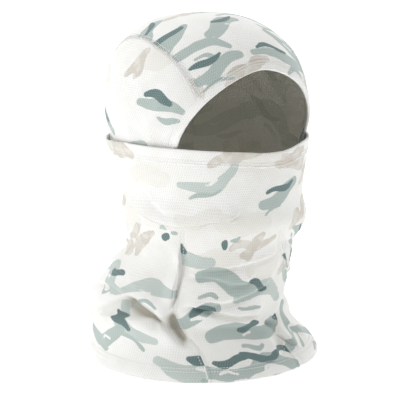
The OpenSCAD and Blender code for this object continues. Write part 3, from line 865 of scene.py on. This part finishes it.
TAPE = [(1.8, -0.9), (4.8, -0.9), (7.6, -0.9), (7.6, -1.4), (4.8, -1.4), (1.8, -1.4)]
mask_tape = fold_band("mask_elastic_tape", mask_place, TAPE, jaw_phi, None, None, True)
finish_piece(mask_tape, elastic, "elastic_tape", "mask_elastic")


# ---------------------------------------------------------------- hood
CROWN_V = 44.0
CROWN_ROWS, NAPE_ROWS, CROWN_COLS = 150, 56, 100
CROWN_SHARE = np.array([[30, 0.655], [76, 0.70], [118, 0.56], [180, 0.50]], float)
NAPE_SHARE = np.array([[84, 0.42], [200, 0.50]], float)


def crown_base(i, u):
    """Point of the crown strip: i runs from 0 at the brow to 1 at the hub's level, to 2 at the nape."""
    brow = open_edge(u * CROWN_V, OPEN_HEM) - HUB
    k = np.clip(i, 0, 1)
    a = np.degrees(np.arctan2(brow[..., 2], -brow[..., 1])) * (1 - k) + 180 * k
    near = 1 - np.minimum(1, 3 * k)
    brow_share = brow[..., 0] / np.hypot(brow[..., 1], brow[..., 2])
    share = brow_share * near + u * table(CROWN_SHARE, a) * (1 - near)
    r = np.radians(a)
    top = cast(np.stack([share, -np.cos(r), np.sin(r)], -1))
    z = HUB[2] + (HOOD_END - HUB[2]) * np.clip(i - 1, 0, 1)
    _, _, cx, cy = hood_section(z)
    d = u * table(NAPE_SHARE, z)
    low = on_hood(np.stack([cx + 60 * d, cy + 60 + 0 * d, np.minimum(z, HUB[2] - 0.01)], -1))
    return np.where((i <= 1)[..., None], top, low)


def hood_normal(p):
    step = 0.5
    grad = []
    for c in range(3):
        e = np.zeros(3)
        e[c] = step
        grad.append(hood_level(p + e, 0) - hood_level(p - e, 0))
    n = np.stack(grad, -1)
    return n / np.linalg.norm(n, axis=-1, keepdims=True)


SEAM_I = np.concatenate([np.linspace(0, 1, CROWN_ROWS), np.linspace(1, 2, NAPE_ROWS)[1:]])
seam_lines = {s: crown_base(SEAM_I, np.full(SEAM_I.shape, float(s))) for s in (-1, 1)}


def worn(p):
    """The hood's cloth as worn: soft waves, and a shallow dip along each crown seam."""
    x, y, z = p[..., 0], p[..., 1], p[..., 2]
    soft = np.sin(x * 0.055 + z * 0.04 + 1) + np.sin(y * 0.07 - z * 0.05)
    soft = soft + 0.6 * np.sin(z * 0.12 + x * 0.05 - y * 0.06)
    out = 0.55 * soft * np.clip((z - 120) / 60, 0, 1)
    shape = p.shape[:-1]
    flat = p.reshape(-1, 3)
    for line in seam_lines.values():
        best = np.full(len(flat), 1e9)
        for q in line[::4]:
            best = np.minimum(best, np.linalg.norm(flat - q, axis=1))
        best = best.reshape(shape)
        out = out - 0.7 * np.exp(-(best / 9) ** 2) + 0.6 * np.exp(-(best / 2.6) ** 2)
    for line, height, w in CREASES:
        way = hood(np.array([a for a, _ in line], float), np.array([b for _, b in line], float))
        best = np.full(len(flat), 1e9)
        for a, b in zip(way[:-1], way[1:]):
            d = b - a
            s = np.clip((flat - a) @ d / (d @ d), 0, 1)
            best = np.minimum(best, np.linalg.norm(flat - a - s[:, None] * d, axis=1))
        out = out + height * np.exp(-(best.reshape(shape) / w) ** 2)
    return p + hood_normal(p) * out[..., None]


CREASES = [
    ([(-60, 258), (-66, 236), (-70, 218)], 1.6, 6),
    ([(-76, 262), (-82, 240), (-84, 222)], 1.2, 7),
    ([(-52, 250), (-56, 238)], 1.0, 4),
    ([(62, 252), (68, 232), (70, 216)], 1.4, 7),
    ([(-150, 236), (180, 228), (150, 236)], -1.2, 9),
]


def hood_knit(p):
    """Cloth coordinates on the hood, from the angle and height of each point."""
    phi = np.degrees(np.arctan2(p[..., 0] - 2, -(p[..., 1] + 2)))
    return np.stack([phi * ARC, p[..., 2]], -1)


def crown_knit(p):
    sag = np.arctan2(p[..., 2] - HUB[2], -(p[..., 1] - HUB[1]))
    return np.stack([p[..., 0] * 1.15, np.where(sag < -1.5, sag + 2 * math.pi, sag) * 82], -1)


crown_i, crown_u = np.meshgrid(SEAM_I, np.linspace(-1, 1, CROWN_COLS), indexing="ij")
crown_flat = crown_base(crown_i, crown_u)
crown = two_sided("crown_cloth", worn(crown_flat), False, marks=ink(crown_flat, CROWN_MARKS, crown_at),
                  knit=crown_knit(crown_flat))
finish_piece(crown, knit, "camo_knit", "crown_panel")


def side_cloth(name, s, marks, node):
    """A side panel of the hood, in rings that shrink from its rim to a point over the ear."""
    face_v = s * np.linspace(179.9, CROWN_V, 130)
    face = open_edge(face_v, OPEN_HEM)
    seam = seam_lines[s][1:]
    _, _, cx, cy = hood_section(np.array(HOOD_END))
    a, b = eased(HOOD, HOOD_END, 5)[:2]
    last = seam[-1]
    nape = math.degrees(math.atan2((last[0] - cx) / a, -(last[1] - cy) / b))
    low = hood(np.linspace(nape, s * 0.1, 90)[1:], np.full(89, HOOD_END))
    rim = np.vstack([face, seam, low])
    ear = hood(np.array(s * 98.0), np.array(172.0))
    share = (np.arange(64) / 64)[:, None, None]
    flat = on_hood(rim[None] + (ear - rim[None]) * share)
    flat[0] = rim
    ear_on = on_hood(ear[None])[0]
    made = two_sided(name, worn(flat), True, marks=ink(flat, marks, hood), knit=hood_knit(flat),
                     pole=worn(ear_on[None]))
    return finish_piece(made, knit, "camo_knit", node)


side_right = side_cloth("side_cloth_right", -1, RIGHT_MARKS, "side_panel_right")
side_left = side_cloth("side_cloth_left", 1, LEFT_MARKS, "side_panel_left")

open_v = np.arange(0, 360, 0.9)


def open_place(v, w, t):
    base = open_edge(v, w + 0 * v)
    return worn(base) + hood_normal(base) * (t + 0.1)


open_sec = fold_section(OPEN_HEM)
open_at = np.stack([open_edge(open_v, w + 0 * open_v) for w, _ in open_sec], 1)
turn = wrapped(open_v)[:, None]
inks = [ink(open_at, marks, place) for marks, place in
        ((CROWN_MARKS, crown_at), (RIGHT_MARKS, hood), (LEFT_MARKS, hood))]
crown_ink, right_ink, left_ink = inks
open_ink = {}
for tone in TONES:
    side_ink = np.where(turn < 0, right_ink[tone], left_ink[tone])
    open_ink[tone] = np.where(np.abs(turn) < CROWN_V, crown_ink[tone], side_ink)
open_knit = np.where((np.abs(turn) < CROWN_V)[..., None], crown_knit(open_at), hood_knit(open_at))
face_hem = fold_band("face_hem_cloth", open_place, open_sec, open_v, open_ink, open_knit, True)
finish_piece(face_hem, hem_knit, "hem_knit", "face_hem")
face_tape = fold_band("face_elastic_tape", open_place, TAPE, open_v, None, None, True)
finish_piece(face_tape, elastic, "elastic_tape", "face_elastic")

# ---------------------------------------------------------------- stitching
STITCH, THREAD_R = 2.9, 0.26
ROW_IN, ROW_STEP = 1.6, 2.8


def row_on(place, columns, w, lift=0.15):
    return np.stack([place(columns, w, lift), place(columns, w, lift + 1)], 1)


def hem_rows(name, place, columns, width, node):
    """Two rows of stitches round a hem, near its cut edge."""
    parts = []
    for k, w in enumerate((width - ROW_IN, width - ROW_IN - ROW_STEP)):
        at, along, out = spaced(row_on(place, columns, w), STITCH, True, 0.5 * k)
        parts.append(stitches(name + str(k), at, along, out, 2.3, THREAD_R, 0.25))
    return finish_piece(join(name, parts), thread, "sewing_thread", node)


face_rows = hem_rows("face_hem_stitches", open_place, open_v, OPEN_HEM, "face_hem_thread")
mask_rows_sewn = hem_rows("mask_hem_stitches", mask_place, jaw_phi, MASK_HEM, "mask_hem_thread")
low_rows = hem_rows("bottom_hem_stitches", low_place, low_phi, LOW_HEM, "bottom_hem_thread")


def crown_stitches(name, s, node):
    """A flat seam: slanting threads across the join, between two rows of stitches."""
    line = worn(seam_lines[s])
    out = hood_normal(seam_lines[s])
    lift = 0.35
    path = np.stack([line + out * lift, line + out * (lift + 1)], 1)
    at, along, away = spaced(path, 2.2, False)
    across = np.cross(along / np.linalg.norm(along, axis=1, keepdims=True), away)
    slant = across + 0.35 * along / np.linalg.norm(along, axis=1, keepdims=True)
    parts = [stitches(name + "_cover", at, slant, away, 5.0, 0.3, 0.3)]
    for k, off in enumerate((-2.7, 2.7)):
        tangent = np.gradient(line, axis=0)
        tangent = tangent / np.linalg.norm(tangent, axis=1, keepdims=True)
        moved = line + np.cross(tangent, out) * off
        row = np.stack([moved + out * lift, moved + out * (lift + 1)], 1)
        a, b, c = spaced(row, 2.4, False, 0.5 * k)
        parts.append(stitches(name + str(k), a, b, c, 2.0, 0.3, 0.25))
    return finish_piece(join(name, parts), thread, "sewing_thread", node)


crown_rows_right = crown_stitches("crown_seam_stitches_right", -1, "crown_seam_thread_right")
crown_rows_left = crown_stitches("crown_seam_stitches_left", 1, "crown_seam_thread_left")


def neck_stitches(name, seam, node):
    z = np.linspace(LOW_HEM + 1, JAW_Z - 1, 200)
    parts = []
    for k, off in enumerate((-1.5, 1.5)):
        phi = table(seam, z) + off
        row = np.stack([draped(phi, z, 0.1), draped(phi, z, 1.1)], 1)
        a, b, c = spaced(row, STITCH, False, 0.5)
        parts.append(stitches(name + str(k), a, b, c, 2.2, 0.28, 0.2))
    return finish_piece(join(name, parts), thread, "sewing_thread", node)


neck_rows_right = neck_stitches("neck_seam_stitches_right", SEAM_RIGHT, "neck_seam_thread_right")
neck_rows_left = neck_stitches("neck_seam_stitches_left", SEAM_LEFT, "neck_seam_thread_left")

back_z = np.linspace(JAW_Z + 2, 188, 80)
parts = []
for off in (-1.2, 1.2):
    back_phi = 180 + off + 0 * back_z
    row = np.stack([draped(back_phi, back_z, 0.1), draped(back_phi, back_z, 1.1)], 1)
    parts.append(stitches("back_row", *spaced(row, STITCH), 2.2, 0.28, 0.2))
mask_back_rows = join("mask_back_stitches", parts)
mask_back_rows = finish_piece(mask_back_rows, thread, "sewing_thread", "mask_back_seam_thread")

ring = np.arange(0, 360, 1.0)
row = np.stack([hood(ring, HOOD_END + 3 + 0 * ring, 0.1), hood(ring, HOOD_END + 3 + 0 * ring, 1.1)], 1)
collar_rows = stitches("collar_seam_stitches", *spaced(row, STITCH, True), 2.3, 0.28, 0.2)
finish_piece(collar_rows, thread, "sewing_thread", "collar_seam_thread")
chin_z = np.linspace(HOOD_END + 1, OPEN_LOW - OPEN_HEM - 0.5, 12)
parts = []
for off in (-1.0, 1.0):
    row = np.stack([hood(off + 0 * chin_z, chin_z, 0.1), hood(off + 0 * chin_z, chin_z, 1.1)], 1)
    parts.append(stitches("chin_row", *spaced(row, 2.4), 2.0, 0.28, 0.2))
chin_rows = finish_piece(join("chin_seam_stitches", parts), thread, "sewing_thread", "chin_seam_thread")

# ---------------------------------------------------------------- bodies
for piece in (crown, side_right, side_left, face_hem, face_tape, face_rows, crown_rows_right, crown_rows_left,
              bottom_hem, low_rows, collar_rows, chin_rows):
    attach(piece, "root")
for piece in (mask_hem, mask_tape, mask_rows_sewn):
    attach(piece, "mask_edge")
for piece in (neck_front, neck_back, mask_cloth, neck_rows_right, neck_rows_left, mask_back_rows):
    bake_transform(piece)

# ---------------------------------------------------------------- stage, light and camera
floor_mesh = bpy.data.meshes.new("floor")
FLOOR_REACH, FLOOR_Z = 6.0, -0.0004
floor_corners = [(x * FLOOR_REACH, y * FLOOR_REACH, FLOOR_Z) for x, y in ((-1, -1), (1, -1), (1, 1), (-1, 1))]
floor_mesh.from_pydata(floor_corners, [], [(0, 1, 2, 3)])
floor = bpy.data.objects.new("floor", floor_mesh)
bpy.context.scene.collection.objects.link(floor)
floor_look = Tree("floor_paper")
floor_look.shader.inputs["Base Color"].default_value = (0.93, 0.93, 0.93, 1)
floor_look.shader.inputs["Roughness"].default_value = 0.9
floor_look.shader.inputs["Emission Color"].default_value = (1, 1, 1, 1)
floor_look.shader.inputs["Emission Strength"].default_value = 0.45
floor.data.materials.append(floor_look.material)


def area_light(name, where, aim, power, size, colour=(1, 1, 1)):
    data = bpy.data.lights.new(name, "AREA")
    data.energy, data.size, data.color = power, size, colour
    light = bpy.data.objects.new(name, data)
    bpy.context.scene.collection.objects.link(light)
    light.location = where
    point_at(light, aim)


def point_at(obj, aim):
    back = obj.location - type(obj.location)(aim)
    obj.rotation_mode = "QUATERNION"
    obj.rotation_quaternion = back.to_track_quat("Z", "Y")


MIDDLE = (0, 0, 0.16)  # middle of the object
area_light("key", (-1.45, 0.22, 1.1), MIDDLE, 8, 0.5)
area_light("rim", (1.3, 0.5, 0.7), MIDDLE, 4.5, 0.7)
area_light("top", (0.0, 0.3, 1.8), (0, 0, 0), 5, 0.8)


def studio_world(front, back, direction):
    """A white room, brighter behind the object than in front of it."""
    world = bpy.data.worlds.new("studio")
    bpy.context.scene.world = world
    world.use_nodes = True
    nodes, links = world.node_tree.nodes, world.node_tree.links
    place = nodes.new("ShaderNodeTexCoord")
    dot = nodes.new("ShaderNodeVectorMath")
    dot.operation = "DOT_PRODUCT"
    dot.inputs[1].default_value = direction
    ramp = nodes.new("ShaderNodeMapRange")
    ramp.interpolation_type = "SMOOTHSTEP"
    for key, value in ((1, -0.7), (2, 0.6), (3, front), (4, back)):
        ramp.inputs[key].default_value = value
    links.new(place.outputs["Generated"], dot.inputs[0])
    links.new(dot.outputs["Value"], ramp.inputs[0])
    links.new(ramp.outputs[0], nodes["Background"].inputs[1])
    nodes["Background"].inputs[0].default_value = (1, 1, 1, 1)


studio_world(0.48, 1.02, (0.57, 0.82, 0.0))

AZIMUTH, DISTANCE, CAMERA_Z = math.radians(-35), 1.460, 0.462
CAMERA_AIM, CAMERA_LENS = (-0.0029, 0.0020, 0.1448), 142.67
camera_data = bpy.data.cameras.new("camera")
camera_data.sensor_width = 36
camera_data.lens = CAMERA_LENS
camera_data.clip_end = 50
camera = bpy.data.objects.new("camera", camera_data)
bpy.context.scene.collection.objects.link(camera)
camera.location = (math.sin(AZIMUTH) * DISTANCE, -math.cos(AZIMUTH) * DISTANCE, CAMERA_Z)
point_at(camera, CAMERA_AIM)
bpy.context.scene.camera = camera
bpy.context.scene.view_settings.view_transform = "Standard"
